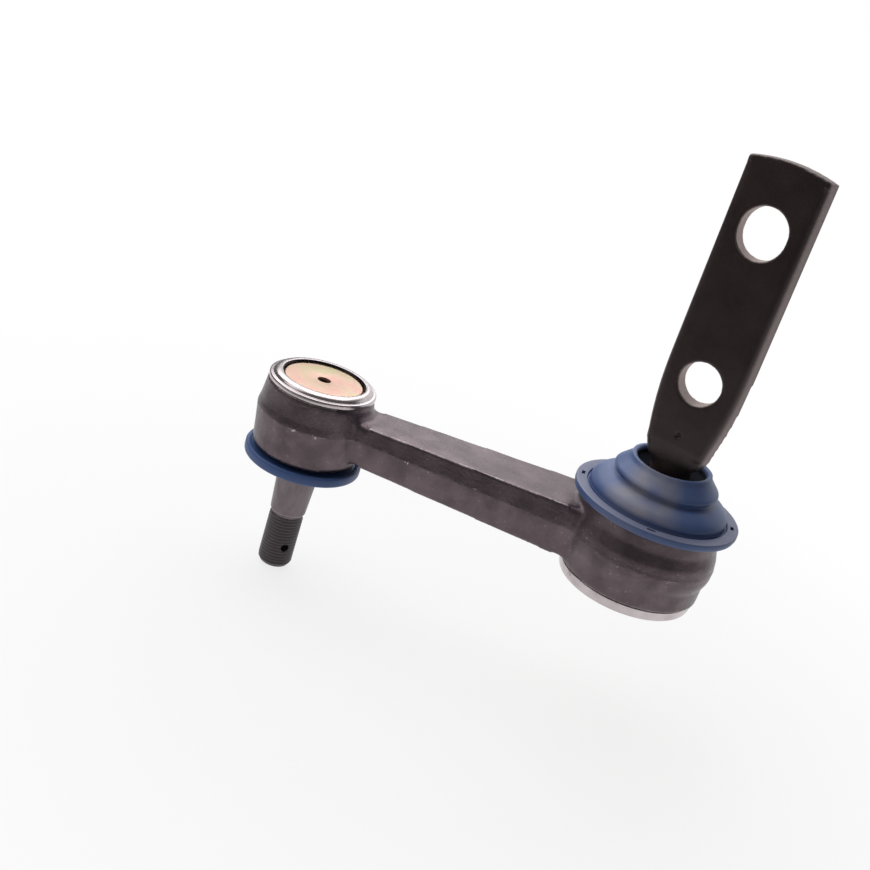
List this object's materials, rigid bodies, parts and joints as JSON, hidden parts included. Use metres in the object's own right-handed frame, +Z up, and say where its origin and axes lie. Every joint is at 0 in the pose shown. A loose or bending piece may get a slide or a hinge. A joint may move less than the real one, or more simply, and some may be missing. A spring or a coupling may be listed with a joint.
{
  "type": "steering idler arm",
  "caption": "Forged steering idler arm that turns on a bolted bracket at one end and carries a tapered, threaded ball stud at the other, with rubber dust boots.",
  "frame": {"origin": "centre of the lower bolt hole on the bracket's mounting face", "axes": "+Z up along the pivot and stud axes, +Y out of the bracket's mounting face, +X along the plate's width; the stud points down and the arm runs towards -X"},
  "size_m": [0.1887, 0.0982, 0.2219],
  "materials": {
    "black_forging": "satin black forged steel",
    "plated_cover": "yellow zinc plated pressed steel",
    "bearing_metal": "oiled sintered bearing metal",
    "spring_steel": "oiled spring steel",
    "stud_steel": "turned and phosphated steel",
    "boot_rubber": "moulded blue rubber"
  },
  "bodies": {
    "bracket": {"bracket": "black_forging"},
    "arm": {"arm_forging": "black_forging", "pivot_upper_bearing": "bearing_metal", "pivot_thrust_washer": "bearing_metal", "pivot_disc_spring": "spring_steel", "pivot_cover": "plated_cover", "pivot_boot": "boot_rubber", "stud_lower_seat": "bearing_metal", "stud_pressure_cup": "bearing_metal", "stud_preload_spring": "spring_steel", "stud_cover": "plated_cover", "stud_boot": "boot_rubber"},
    "half_ball": {"stud_half_ball": "bearing_metal"},
    "stud": {"ball_stud": "stud_steel"}
  },
  "joints": [
    {"name": "arm_swing", "type": "hinge", "parent": "bracket", "child": "arm", "pos_m": [0, -0.0006, -0.0706], "axis": [0, 0, 1], "continuous": true},
    {"name": "stud_tilt", "type": "hinge", "parent": "arm", "child": "half_ball", "pos_m": [-0.13209, -0.04225, -0.0728], "axis": [-0.3007, 0.9537, 0], "range_deg": [-15, 15], "deforming": ["stud_boot"]},
    {"name": "stud_spin", "type": "hinge", "parent": "half_ball", "child": "stud", "pos_m": [-0.13209, -0.04225, -0.0728], "axis": [0, 0, 1], "continuous": true}
  ]
}
